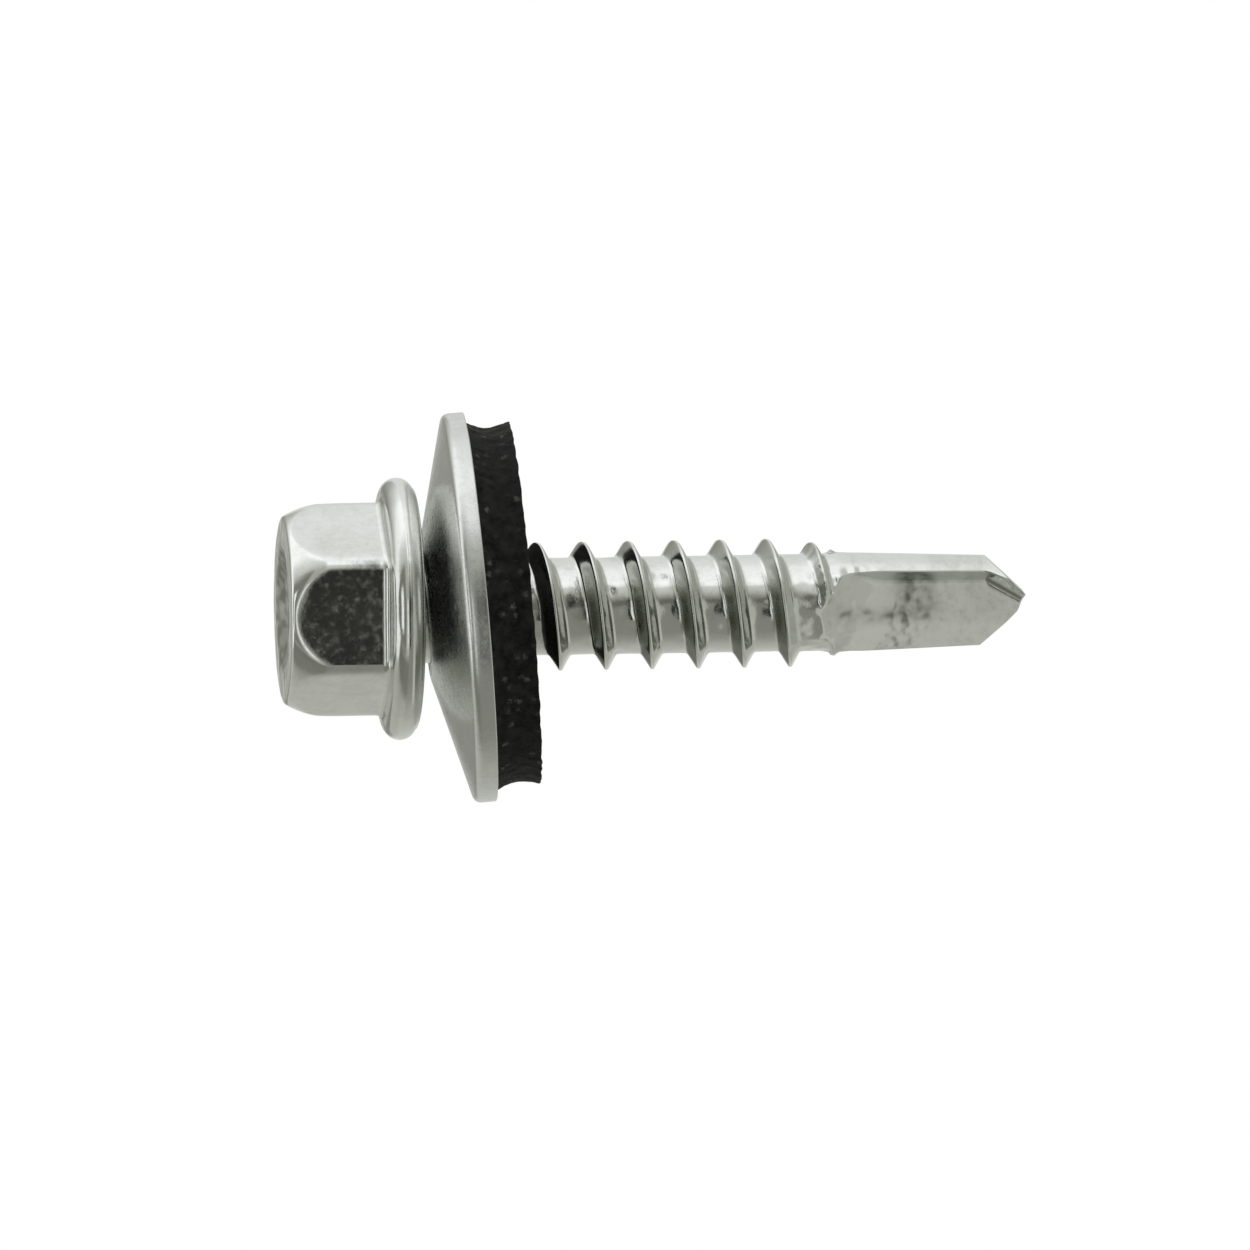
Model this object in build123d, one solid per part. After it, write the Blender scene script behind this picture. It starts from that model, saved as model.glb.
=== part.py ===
from build123d import *
from math import cos, hypot, radians, sin, tan
import os

# A hex washer head self drilling screw with its captive sealing washer, in millimetres and degrees.
# +Z runs along the screw, from the head's end face at z = 0 to the tip of the drill point.
# Angles about the axis are counted from +X towards +Y, which is also the way that the screw is driven.

# Head, cold forged
head_height = 5.4  # end face to bearing face
across_flats = 7.8
hex_corner_radius = 0.95
hex_turn = 274.7  # the way that one of the flats faces
hex_root_radius = 0.4  # fillet between the hexagon and the flange
crown_margin = 0.06  # the ball that rounds the hexagon's corners reaches this far past them
crown_height = 2.28  # of the ball's centre
crown_chamfer = 0.15  # around the end face
recess_diameter = 5.2  # shallow dish in the end face
recess_floor_diameter = 3.4
recess_depth = 0.35
flange_overhang = 0.99  # past the hexagon's corners
flange_thickness = 1.45
flange_edge_radius = 0.65  # rounding of the flange's upper edge
flange_edge_turn = 60.0  # degrees that it turns through
flange_chamfer = 0.35  # on the bearing side

# Shank, from the bearing face to the tip
length = 25.15
neck_diameter = 4.5
neck_cone_length = 0.9
root_diameter = 3.98

# Thread
thread_diameter = 5.28
pitch = 1.895
thread_angle = 63.0
crest_drop = 5.06  # bearing face to a crest on the -X side
rise_length = 1.3  # over which the ridge grows out of the neck's cone
sink_length = 2.2  # over which it sinks back into the root
ridge_bury = 0.25  # depth of the ridge's foot inside the root
crest_bury = 0.05  # depth of its crest where it starts and stops
points_per_turn = 20

# Drill point, pinch forged; places are measured back from the tip
point_length = 7.78  # where the plain lands start
thread_stop = 7.58
land_diameter = 4.08
land_tip_diameter = 3.7
land_cone_length = 1.0
corner_setback = 1.78  # where the lands meet the reliefs
floor_turn = 355.0  # the way that the near flute's floor runs from its wall to its heel
web_half = 0.6  # half of the metal left between the two floors
wall_offset = 0.8  # axis to the foot of the flute's wall
wall_draft = 15.0
floor_radius = 0.12  # between floor and wall
lip_setback = 1.63  # where the wall turns in to become the lip
lip_angle = 30.7  # between the lip and the axis
scoop_radius = 4.0
scoop_setback = 5.18  # where the scoop's arc leaves the floor, at mid flute
scoop_skew = 0.6  # how much sooner the scoop starts, for each step towards the heel
heel_turn = 301.5  # the way that the near heel's bevel faces
heel_distance = 1.08  # axis to the bevel
relief_turn = 187.9  # the way down the near lip's relief
relief_angle = 42.5  # between the relief and the axis
ridge_offset = 0.13  # axis to the ridge between the reliefs, on the -X side
nip_offset = 0.36  # axis to the high corner of the nipped end, beyond the ridge
nip_angle = 27.0  # between the nipped end and a square one

# Sealing washer, a cone of sheet steel with rubber bonded under it
washer_diameter = 16.0
washer_sheet = 0.85
cone_angle = 14.8
washer_clearance = 0.33  # between the neck and the washer's hole
hole_chamfer = 0.25
rim_chamfer = 0.2
washer_gap = 0.41  # bearing face to the washer's hole, along the axis
seal_diameter = 15.04
seal_lip_diameter = 14.84
seal_hollow = 0.26  # depth of the wall's hollow between its two lips
seal_height = 1.87
seal_clearance = 0.15  # between the neck and the seal's bore
thread_clearance = 0.15  # between the seal and the end of the neck
tilt_x = 3.2  # the loose washer leans, about X and then about Y
tilt_y = -4.05

# Worked out from the sizes above
tip_z = head_height + length
flange_top = head_height - flange_thickness
corner_cut = hex_corner_radius * (1 / cos(radians(30)) - 1)
corner_reach = across_flats / 2 / cos(radians(30)) - corner_cut  # axis to the rounded corners
cone_rise = tan(radians(cone_angle))
sheet_height = washer_sheet / cos(radians(cone_angle))
hole_radius = neck_diameter / 2 + washer_clearance
bore_radius = neck_diameter / 2 + seal_clearance
apex_z = head_height + washer_gap - hole_radius * cone_rise
pivot_height = bore_radius * cone_rise + sheet_height + seal_height / 2
tilt_swing = bore_radius * sin(radians(hypot(tilt_x, tilt_y)))
neck_end = apex_z + pivot_height + seal_height / 2 + tilt_swing + thread_clearance
land_start = tip_z - point_length
ridge_steps = round((tip_z - thread_stop - neck_end) / pitch * points_per_turn)
overrun = 1.0  # how far a tool runs past what it cuts


def turned(radius, angle, z=0.0):
    """The point at a radius, an angle and a height."""
    return Vector(radius * cos(radians(angle)), radius * sin(radians(angle)), z)


def leaning(turn, rise):
    """The unit vector that faces turn and points upwards by rise degrees."""
    return turned(cos(radians(rise)), turn, sin(radians(rise)))


def beyond(origin, normal):
    """A block that fills everything past a plane, on the side that the normal points to."""
    size = 2 * (length + head_height)
    block = Box(size, size, size, align=(Align.CENTER, Align.CENTER, Align.MIN))
    return Plane(origin=origin, z_dir=normal) * block


def spun(outline):
    """The solid that an outline of radius and height makes about the axis."""
    return revolve(Plane.XZ * outline, Axis.Z)


def crown():
    """The head's envelope: a flat end, a chamfer and a ball-shaped side that runs out at its widest."""
    widest = corner_reach + crown_margin
    end_radius = (widest**2 - crown_height**2) ** 0.5
    side = RadiusArc((end_radius, 0), (widest, crown_height), -widest)
    shaft = (widest, head_height), (0, head_height), (0, 0)
    rest = Polyline((widest, crown_height), *shaft, (end_radius, 0))
    outline = make_face([side, rest])
    corner = outline.vertices().sort_by_distance(Vector(end_radius, 0))[0]
    return spun(chamfer(corner, crown_chamfer))


def recess():
    """The dish in the end face: a flat floor inside a cone."""
    rim, floor = recess_diameter / 2, recess_floor_diameter / 2
    return spun(Polygon((0, 0), (rim, 0), (floor, recess_depth), (0, recess_depth), align=None))


def flange():
    """The round flange under the hexagon: rounded above, with a small chamfer on its bearing side."""
    radius = corner_reach + flange_overhang
    inset = flange_edge_radius * sin(radians(flange_edge_turn))
    drop = flange_edge_radius * (1 - cos(radians(flange_edge_turn)))
    edge = RadiusArc((radius - inset, flange_top), (radius, flange_top + drop), -flange_edge_radius)
    rest = Polyline(
        (radius, flange_top + drop),
        (radius, head_height - flange_chamfer),
        (radius - flange_chamfer, head_height),
        (0, head_height),
        (0, flange_top),
        (radius - inset, flange_top),
    )
    return spun(make_face([edge, rest]))


def head():
    """The forged head: a rounded hexagon cut by its crown, run into the flange with a fillet."""
    hexagon = RegularPolygon(across_flats / 2, 6, major_radius=False, rotation=hex_turn - 30)
    hexagon = fillet(hexagon.vertices(), hex_corner_radius)
    body = (extrude(hexagon, head_height) & crown()) + flange()
    foot = [edge for face in body.faces() for wire in face.inner_wires() for edge in wire.edges()]
    return fillet(foot, hex_root_radius) - recess()


def shank():
    """Neck, rolled root and uncut drill point, which swells a little and then tapers to the tip."""
    neck, root = neck_diameter / 2, root_diameter / 2
    land, land_tip = land_diameter / 2, land_tip_diameter / 2
    return spun(
        Polygon(
            (0, flange_top),
            (neck, flange_top),
            (neck, neck_end),
            (root, neck_end + neck_cone_length),
            (root, land_start),
            (land, land_start + land_cone_length),
            (land_tip, tip_z - corner_setback),
            (land_tip, tip_z + overrun),
            (0, tip_z + overrun),
            align=None,
        )
    )


def crest_radius(z):
    """Radius of the ridge's crest at a height: full in the middle, sunk into the root at both ends."""
    low = root_diameter / 2 - crest_bury
    share = min(1, (z - neck_end) / rise_length, (tip_z - thread_stop - z) / sink_length)
    return low + share * (thread_diameter / 2 - low)


def ridge_edge(side, steps):
    """A stretch of one of the ridge's three long edges: its crest, or a flank's foot under the root."""
    foot = root_diameter / 2 - ridge_bury
    points = []
    for step in steps:
        z = neck_end + (tip_z - thread_stop - neck_end) * step / ridge_steps
        angle = 180 + 360 * (z - head_height - crest_drop) / pitch
        crest = crest_radius(z)
        spread = side * (crest - foot) * tan(radians(thread_angle / 2))
        points.append(turned(foot if side else crest, angle, z + spread))
    return Edge.make_spline(points)


def thread():
    """The rolled ridge, turn by turn: two flanks and a foot between its edges, closed at both ends."""
    faces = []
    for first in range(0, ridge_steps, points_per_turn):
        last = min(first + points_per_turn, ridge_steps)
        edges = [ridge_edge(side, range(first, last + 1)) for side in (-1, 0, 1)]
        pairs = list(zip(edges, edges[1:] + edges[:1]))
        faces += [Face.make_surface_from_curves(one, other) for one, other in pairs]
        if first == 0:
            faces.append(Face(Wire([Edge.make_line(one @ 0, other @ 0) for one, other in pairs])))
        if last == ridge_steps:
            faces.append(Face(Wire([Edge.make_line(one @ 1, other @ 1) for one, other in pairs])))
    return Solid(Shell(faces))


def flute_plan():
    """The flute seen onto its floor: a wall beside the land that turns in to the lip near the tip."""
    back = tip_z - point_length - 2 * overrun
    turn = tip_z - lip_setback
    front = tip_z + 2 * overrun
    inward = (front - turn) * tan(radians(lip_angle))
    right = land_diameter
    return Polygon(
        (right, back),
        (right, front),
        (inward - wall_offset, front),
        (-wall_offset, turn),
        (-wall_offset, back),
        align=None,
    )


def scooped(distance, turn):
    """What lies past a flat at a distance from the axis that faces turn and leaves the shank in an arc."""
    start = tip_z - scoop_setback
    front = tip_z + 3 * overrun
    top = distance + scoop_radius
    arc = RadiusArc((start - scoop_radius, top), (start, distance), -scoop_radius)
    rest = Polyline((start, distance), (front, distance), (front, top), (start - scoop_radius, top))
    profile = make_face([arc, rest])
    across = Vector(1, 0, -scoop_skew)
    side = Plane(origin=-land_diameter * across, x_dir=(0, 0, 1), z_dir=(1, 0, 0))
    return Rot(0, 0, turn - 270) * extrude(side * profile, 2 * land_diameter * across.length, dir=across)


def flute_tool():
    """The near flute's cutter: drafted walls over the plan, a scooped floor and a fillet between them."""
    floor = Plane(origin=(0, -web_half, 0), x_dir=(1, 0, 0), z_dir=(0, -1, 0))
    tool = extrude(floor * flute_plan(), land_diameter / 2 + overrun, taper=-wall_draft)
    tool &= scooped(web_half, 270)
    walls = [face for face in tool.faces() if face.normal_at().X < -0.5 and face.normal_at().Y > 0]
    floors = [face for face in tool.faces() if face.normal_at().Y > 0.5]
    wall_edges = [edge for face in walls for edge in face.edges()]
    floor_edges = [edge for face in floors for edge in face.edges()]
    feet = [edge for edge in wall_edges if any(edge.is_same(other) for other in floor_edges)]
    return Rot(0, 0, floor_turn) * fillet(feet, floor_radius)


def relief_tool(turn):
    """What lies past the flat behind a lip. Both flats meet in a ridge, which the nip then takes off."""
    across = (nip_offset - ridge_offset) * cos(radians(relief_turn - 180))
    ridge_z = tip_z + across / tan(radians(relief_angle))
    return beyond((-ridge_offset, 0, ridge_z), leaning(turn, relief_angle))


def nip_tool():
    """What the dies nip off the sharp end, leaving it blunt and a little slanted."""
    return beyond((-nip_offset, 0, tip_z), leaning(0, 90 - nip_angle))


def screw():
    """The screw, one piece of wire: head, shank and thread, then the point's cuts, paired but the nip."""
    body = shank() + thread() + head()
    tool = flute_tool()
    for half_turn in (0, 180):
        body -= Rot(0, 0, half_turn) * tool
        body -= scooped(heel_distance, heel_turn + half_turn)
        body -= relief_tool(relief_turn + half_turn)
    return body - nip_tool()


def washer_place():
    """Where the cone has its apex: the loose washer leans about the middle of the seal's bore."""
    return Pos(0, 0, apex_z + pivot_height) * Rot(tilt_x, tilt_y, 0) * Pos(0, 0, -pivot_height)


def steel_washer():
    """The dished sheet, the edges of its hole and rim broken on the upper side."""
    rim = washer_diameter / 2
    points = [
        (hole_radius, hole_radius * cone_rise),
        (rim, rim * cone_rise),
        (rim, rim * cone_rise + sheet_height),
        (hole_radius, hole_radius * cone_rise + sheet_height),
    ]
    sheet = Polygon(*points, align=None)
    for point, size in ((points[0], hole_chamfer), (points[1], rim_chamfer)):
        sheet = chamfer(sheet.vertices().sort_by_distance(Vector(*point))[0], size)
    return washer_place() * spun(sheet)


def rubber_seal():
    """The bonded rubber, of even height, its outer wall hollow between two lips."""
    upper, lower = seal_diameter / 2, seal_lip_diameter / 2
    waist = (upper + lower) / 2 - seal_hollow
    top = sheet_height
    bottom = sheet_height + seal_height
    return washer_place() * spun(
        Polygon(
            (bore_radius, bore_radius * cone_rise + top),
            (upper, upper * cone_rise + top),
            (waist, waist * cone_rise + (top + bottom) / 2),
            (lower, lower * cone_rise + bottom),
            (bore_radius, bore_radius * cone_rise + bottom),
            align=None,
        )
    )


os.makedirs("parts", exist_ok=True)
for piece in (screw, steel_washer, rubber_seal):
    export_step(piece(), f"parts/{piece.__name__}.step")
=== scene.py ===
# %% [markdown]
# # A self drilling screw with its sealing washer
# The screw is one piece of plated steel wire with a forged hexagon head, a rolled thread and a pinched
# drill point. A dished steel washer with black rubber bonded under it hangs loose on its neck. This lesson
# dresses the three solids with fine surfaces, each worked out with numpy from a formula.

# %% The frame
from math import cos, pi, radians, sin, sqrt, tan

import bmesh
import bpy
import numpy as np
from mathutils import Matrix, Vector


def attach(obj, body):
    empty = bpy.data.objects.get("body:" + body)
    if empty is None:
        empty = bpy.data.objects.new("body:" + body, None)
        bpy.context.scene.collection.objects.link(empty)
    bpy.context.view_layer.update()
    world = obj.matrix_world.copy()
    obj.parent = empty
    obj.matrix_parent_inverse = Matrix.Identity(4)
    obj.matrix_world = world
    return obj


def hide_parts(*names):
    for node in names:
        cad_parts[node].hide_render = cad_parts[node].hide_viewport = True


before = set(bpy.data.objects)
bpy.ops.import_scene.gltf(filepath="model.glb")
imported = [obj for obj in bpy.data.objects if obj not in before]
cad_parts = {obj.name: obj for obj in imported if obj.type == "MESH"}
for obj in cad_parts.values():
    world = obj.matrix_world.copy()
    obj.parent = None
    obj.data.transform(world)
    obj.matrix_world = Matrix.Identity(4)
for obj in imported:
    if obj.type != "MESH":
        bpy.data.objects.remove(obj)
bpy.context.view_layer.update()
MM = 0.001
print("nodes", sorted(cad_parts))

# %% [markdown]
# ## The camera
# The screw stands on its head in this frame and is looked at from its front, -Y, with the head nearer to
# the lens. A long lens far away keeps the outlines nearly parallel. The camera lies on its side, so that
# the head is at the left of the picture. Its three directions are worked out here rather than typed as
# angles, so that the swing and the roll can be set one by one.

# %% Camera
SCALE = 24.41  # pixels of a 1250 pixel picture for a millimetre of the screw
PICTURE = 1250
DISTANCE = 2000 * MM
SWING = radians(6.0)  # the head is nearer to the lens than the tip
ROLL = radians(0.88)  # the tip is a little higher in the picture than the head
HEAD_AT = (282.7, 610.5)  # where the middle of the head's end face comes in the picture


def placed(name, data):
    """An object in the scene for a camera, a mesh or a lamp."""
    found = bpy.data.objects.new(name, data)
    bpy.context.scene.collection.objects.link(found)
    return found


ahead = Vector((0, cos(SWING), sin(SWING)))
along, above = Vector((0, -sin(SWING), cos(SWING))), Vector((-1, 0, 0))
right = along * cos(ROLL) - above * sin(ROLL)
upward = along * sin(ROLL) + above * cos(ROLL)
centre = (right * (PICTURE / 2 - HEAD_AT[0]) - upward * (PICTURE / 2 - HEAD_AT[1])) * (MM / SCALE)
lens = bpy.data.cameras.new("camera")
lens.sensor_width = 36.0
lens.lens = lens.sensor_width * DISTANCE / (PICTURE / SCALE * MM)
lens.clip_start, lens.clip_end = 0.05, 50.0
camera = placed("camera", lens)
facing = Matrix((right, upward, -ahead)).transposed().to_4x4()
camera.matrix_world = Matrix.Translation(centre - ahead * DISTANCE) @ facing
bpy.context.scene.camera = camera
print("focal length in mm", round(lens.lens, 1))

# %% [markdown]
# ## Soft steps
# Forged and rolled metal has no sharp inner corner, and wear has no sharp border. A bevel afterwards would
# have to find the edges again, so each formula here meets the next one with a small round of its own.


# %% Soft steps
def soft_max(a, b, blend):
    """The larger of two values, with the step between them rounded over about the width blend."""
    return 0.5 * (a + b + np.sqrt((a - b) ** 2 + blend**2))


def soft_min(a, b, blend):
    """The smaller of two values, rounded in the same way."""
    return -soft_max(-a, -b, blend)


def ease(x, start, width):
    """0 up to the start, 1 past start + width, an even S between. A negative width runs the other way."""
    share = np.clip((x - start) / width, 0, 1)
    return share * share * (3 - 2 * share)


def bell(x, middle, width, power=2):
    """A bell curve: 1 at the middle, nearly 0 two widths away. A higher power gives it a flatter top."""
    return np.exp(-((x - middle) / width) ** power)


def toward(a, b, share):
    """a where the share is 0, b where it is 1, and in proportion between."""
    return a + (b - a) * share


print("an eased step at its quarters", [float(ease(x, 0, 1)) for x in (0.25, 0.5, 0.75)])

# %% [markdown]
# ## The screw's head
# The head is forged: a hexagon for the driver, rounded over at its end, that runs into a round flange. It
# could be a cut and bevelled cylinder. Here its surface is a profile carried round the axis, where the
# profile's reach depends on the direction, because every round is then exact and every ring closes itself.

# %% Head sizes, in millimetres and degrees
HEAD_HEIGHT, LENGTH = 5.4, 25.15
TIP = HEAD_HEIGHT + LENGTH
COLUMNS = 192
HALF_FLATS, HEX_CORNER, HEX_TURN, HEX_ROOT = 3.9, 0.75, 274.7, 0.3
CROWN_REACH, CROWN_HEIGHT, CROWN_BLEND = 4.46, 2.28, 0.06
CROWN_END = sqrt(CROWN_REACH**2 - CROWN_HEIGHT**2)
RECESS_RIM, RECESS_FLOOR, RECESS_DEPTH = 2.6, 1.7, 0.35
FLANGE_REACH, FLANGE_TOP, FLANGE_ROUND, FLANGE_STOP = 5.37, 4.07, 0.66, 425
NECK, NECK_END, NECK_ROOT = 2.25, 8.88, 0.15
FLOOR_EASE, RIM_EASE = 0.25, 0.15  # rounds of the dish's corners, in millimetres and as a share of its cone
EDGE_EASE, EDGE_RISE = 0.14, 0.13  # the edge of the end face, across the face and up the crown
FACE_EASE = 0.12  # the flange's edge, across its bearing face
print("end face to", round(CROWN_END, 3), "tip at", round(TIP, 3))


# %% The hexagon
def hexagon_reach(turn):
    """Reach of the hexagon in a direction: flat / cos in a flat, then a circle about the corner's centre."""
    away = np.abs((np.degrees(turn) - HEX_TURN + 30) % 60 - 30)
    flat = HALF_FLATS / np.cos(np.radians(away))
    middle = (HALF_FLATS - HEX_CORNER) / cos(radians(30))
    off = np.radians(30 - away)
    corner = middle * np.cos(off) + np.sqrt(np.maximum(HEX_CORNER**2 - (middle * np.sin(off)) ** 2, 0))
    corner_stops = np.arctan2(HEX_CORNER / 2, middle + HEX_CORNER * cos(radians(30)))
    return np.where(off > corner_stops, flat, corner)


print("reach at a flat and at a corner", hexagon_reach(np.radians([HEX_TURN, HEX_TURN + 30])).round(3))


# %% Lines and curves
def arc(r, z, radius, start, stop, count):
    """Points of an arc about (r, z), from one direction to another in degrees, as reach and height."""
    way = np.radians(np.linspace(start, stop, count))
    return np.stack([r + radius * np.cos(way), z + radius * np.sin(way)], axis=1)


def run(start, stop, count):
    """Points along a straight line from start to stop, evenly spaced, without the last one."""
    share = np.linspace(0, 1, count, endpoint=False)[:, None]
    return np.array(start, float) * (1 - share) + np.array(stop, float) * share


def curve(start, corner, end, count):
    """Points of the parabola that rounds a corner, from one side to the other."""
    t = np.linspace(0, 1, count)[:, None]
    return (1 - t) ** 2 * np.array(start) + 2 * t * (1 - t) * np.array(corner) + t**2 * np.array(end)


print("a quarter of a circle ends at", arc(0, 0, 1, 0, 90, 5)[-1].round(3))


# %% Outlines of the head
def end_outline():
    """The end face from its middle out: the dish's floor and cone, and the flat ring, its corners eased."""
    wide, deep = RECESS_RIM - RECESS_FLOOR, RECESS_DEPTH
    floor_end = (RECESS_FLOOR - FLOOR_EASE, deep)
    foot = (RECESS_FLOOR + FLOOR_EASE * wide, (1 - FLOOR_EASE) * deep)
    brow = (RECESS_RIM - RIM_EASE * wide, RIM_EASE * deep)
    ring_start = (RECESS_RIM + RIM_EASE, 0)
    return np.concatenate([
        run((0, deep), floor_end, 16),
        curve(floor_end, (RECESS_FLOOR, deep), foot, 4)[:-1],
        run(foot, brow, 6),
        curve(brow, (RECESS_RIM, 0), ring_start, 5)[:-1],
        run(ring_start, (CROWN_END - EDGE_EASE, 0), 10),
    ])


def crown_outline():
    """The crown's side: a small round at the end face, then the ball to its widest."""
    height = np.linspace(EDGE_RISE, CROWN_HEIGHT, 26)
    ball = np.stack([np.sqrt(CROWN_REACH**2 - (CROWN_HEIGHT - height) ** 2), height], axis=1)
    return np.concatenate([curve((CROWN_END - EDGE_EASE, 0), (CROWN_END, 0), ball[0], 7), ball[1:]])


def flange_outline():
    """The flange's half-round edge, its bearing face, and the neck."""
    edge = arc(FLANGE_REACH - FLANGE_ROUND, FLANGE_TOP + FLANGE_ROUND, FLANGE_ROUND, 270, FLANGE_STOP, 26)
    stop = edge[-1, 0]
    face_from = (stop - FACE_EASE, HEAD_HEIGHT)
    return np.concatenate([
        edge,
        curve(edge[-1], (stop - FACE_EASE / 4, HEAD_HEIGHT), face_from, 5)[1:],
        run(face_from, (NECK + NECK_ROOT, HEAD_HEIGHT), 6)[1:],
        arc(NECK + NECK_ROOT, HEAD_HEIGHT + NECK_ROOT, NECK_ROOT, 270, 180, 5),
        run((NECK, HEAD_HEIGHT + 2 * NECK_ROOT), (NECK, NECK_END), 6),
        [(NECK, NECK_END)],
    ])


print("points of the outlines", len(end_outline()), len(crown_outline()), len(flange_outline()))


# %% The head's rings
def head_rings(turn):
    """Rings from the pole of the end face to the neck's end. Each is a reach and a height per direction."""
    hexagon, ones = hexagon_reach(turn), np.ones_like(turn)
    side, foot = soft_min(hexagon, CROWN_REACH, CROWN_BLEND), FLANGE_TOP - HEX_ROOT
    rings = [(r * ones, z * ones) for r, z in end_outline()]
    rings += [(soft_min(hexagon, r, CROWN_BLEND), z * ones) for r, z in crown_outline()]
    rings += [(side, z * ones) for z in np.linspace(CROWN_HEIGHT, foot, 12)[1:]]
    rings += [(side + r, z * ones) for r, z in arc(HEX_ROOT, foot, HEX_ROOT, 180, 90, 7)[1:]]
    rings += [(r * ones, z * ones) for r, z in flange_outline()]
    reach, height = np.moveaxis(np.array(rings), 1, 0)
    return np.stack([reach * np.cos(turn), reach * np.sin(turn), height], axis=-1)


TURN = radians(HEX_TURN + 30) + np.arange(COLUMNS) * 2 * pi / COLUMNS
head = head_rings(TURN)
print("head rings", head.shape[:2])

# %% [markdown]
# ## The thread
# Thread rolling presses a ridge out of the wire that climbs round it. A Screw modifier could sweep its
# section, but the ridge fades in and out and the flutes bite into it, and level rings would need very many
# rows to keep its crest. A grid whose rows climb with the ridge needs few, and its crest stays sharp. Where
# such a row would leave the threaded length it is held at the flat ring that ends it, so the grid closes
# against its neighbours.

# %% Thread sizes
ROOT, CONE_FROM, CONE_TO = 1.99, 9.35, 9.85
THREAD, PITCH, CREST_AT = 2.64, 1.895, HEAD_HEIGHT + 5.06
NEAR_FLANK, FAR_FLANK = tan(radians(31.5)), tan(radians(28.5))
CREST_HALF, CREST_EASE = 0.06, 0.02
BURIED = 0.06  # how far under the root the ridge starts and stops
RISE, SINK, THREAD_STOP = 1.3, 2.5, TIP - 7.45
LAND, LAND_TIP, LAND_START, LAND_CONE, CORNER = 2.06, 1.85, TIP - 8.45, 0.6, TIP - 1.78
print("turns of thread", round((THREAD_STOP - NECK_END) / PITCH, 2))


# %% Wire and ridge
def wire_reach(z):
    """Reach of the plain wire: neck, cone, root, the land's swelling, and the land's taper."""
    heights = [CONE_FROM, CONE_TO, LAND_START, LAND_START + LAND_CONE, CORNER]
    return np.interp(z, heights, [NECK, ROOT, ROOT, LAND, LAND_TIP])


def ridge_reach(turn, z):
    """Reach of the ridge: its crest, less what a flank loses with the distance from the flat on top."""
    low = ROOT - BURIED
    rising = np.minimum(1, (z - NECK_END) / RISE)
    sinking = 1 - np.maximum(0, 1 - (THREAD_STOP - z) / SINK) ** 2
    crest = low + np.minimum(rising, sinking) * (THREAD - low)
    away = (z - CREST_AT - (turn - pi) / (2 * pi) * PITCH + PITCH / 2) % PITCH - PITCH / 2
    flank = np.where(away < 0, NEAR_FLANK, FAR_FLANK)
    return crest - soft_max(np.abs(away) - CREST_HALF, 0, CREST_EASE) / flank


print("ridge at a crest", round(float(ridge_reach(pi, CREST_AT + PITCH)), 2))

# %% [markdown]
# ## The drill point's cuts
# The point is pinched in dies: on each side a flute with a flat floor and a steep wall, run out in an arc
# towards the thread, a bevel behind it, and at the end two reliefs that meet in the web. Boolean cuts would
# leave long thin faces that mirror badly. Here a cut is a function that is above zero in what it takes
# away, so the largest of several is all of them together.

# %% Cut sizes
WEB, WALL, DRAFT = 0.6, 0.8, tan(radians(15))
LIP_START, LIP, LIP_BLEND = TIP - 1.63, radians(30.7), 0.06
LIP_DRAFT = 0.85 * DRAFT / cos(LIP)
SCOOP, SCOOP_START, SKEW = 4.0, TIP - 5.18, 0.6
FLUTE_TURN, HEEL_TURN, HEEL = radians(355 - 360), radians(301.5 - 355 + 360), 1.08
FOOT, LIP_FOOT, HEEL_BLEND = 0.26, 0.12, 0.05  # rounds at the wall's foot, along the lip, and at the bevel
RELIEF_TURN, RELIEF, RIDGE, RIDGE_BLEND = radians(187.9), tan(radians(43.3)), 0.13, 0.02
NIP_OFFSET, NIP_SLOPE, NIP_BLEND = 0.33, tan(radians(22)), 0.03
CRUMPLE = 0.016
print("web between the floors", 2 * WEB)


# %% Flute and bevel
def scoop_rise(z):
    """How far a scooped flat has risen in its arc at a distance before the arc's start."""
    back = np.clip(z, -0.999 * SCOOP, 0)
    return SCOOP - np.sqrt(SCOOP**2 - back**2)


def wall_x(depth, z):
    """Where the flute's wall stands at a depth beyond the floor: upright, then turned in along the lip."""
    plain = -WALL - DRAFT * depth
    lip = -WALL + (z - LIP_START) * tan(LIP) - LIP_DRAFT * depth
    return soft_max(plain, lip, LIP_BLEND)


def crumple(x, y, z):
    """Uneven metal where the dies met the thread: three crossed waves, strongest where the flute runs out."""
    near = ease(z, TIP - 10.2, 1.2) * ease(z, TIP - 5.4, -1.6)
    near = near * (0.6 + 1.6 * ease(z, TIP - 7.2, -0.9))
    waves = np.sin(7.1 * x + 5.3 * z) + np.sin(8.3 * y - 6.1 * z + 1.0)
    return CRUMPLE * near * (waves + np.sin(9.7 * z + 4.9 * x - 5.7 * y + 2.0))


def one_side(x, y, z):
    """The near flute and its heel's bevel, in the flute's own frame, whose -Y looks onto the floor."""
    floor = -y - WEB - scoop_rise(z + SKEW * x - SCOOP_START) + crumple(x, y, z)
    wall = x - wall_x(-y - WEB, z)
    along = x * cos(HEEL_TURN + pi / 2) + y * sin(HEEL_TURN + pi / 2)
    heel = x * cos(HEEL_TURN) + y * sin(HEEL_TURN) - HEEL - scoop_rise(z + SKEW * along - SCOOP_START)
    foot = toward(FOOT, LIP_FOOT, ease(z, LIP_START - 0.4, 0.5))
    return soft_max(soft_min(floor, wall, foot), heel, HEEL_BLEND)


def cuts(x, y, z):
    """Both flutes and both bevels: the second pair is the first turned half round."""
    return np.maximum(one_side(x, y, z), one_side(-x, -y, z))


print("cut at the axis and in a flute", [round(float(cuts(0.0, y, TIP - 3.0)), 2) for y in (0.0, -1.5)])

# %% [markdown]
# ### Where a ray leaves the metal
# Wire, ridge and cuts together have no simple formula for their reach. Halving finds it: the ray's span is
# cut in two, again and again, and the half that still holds the surface is kept.

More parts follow.
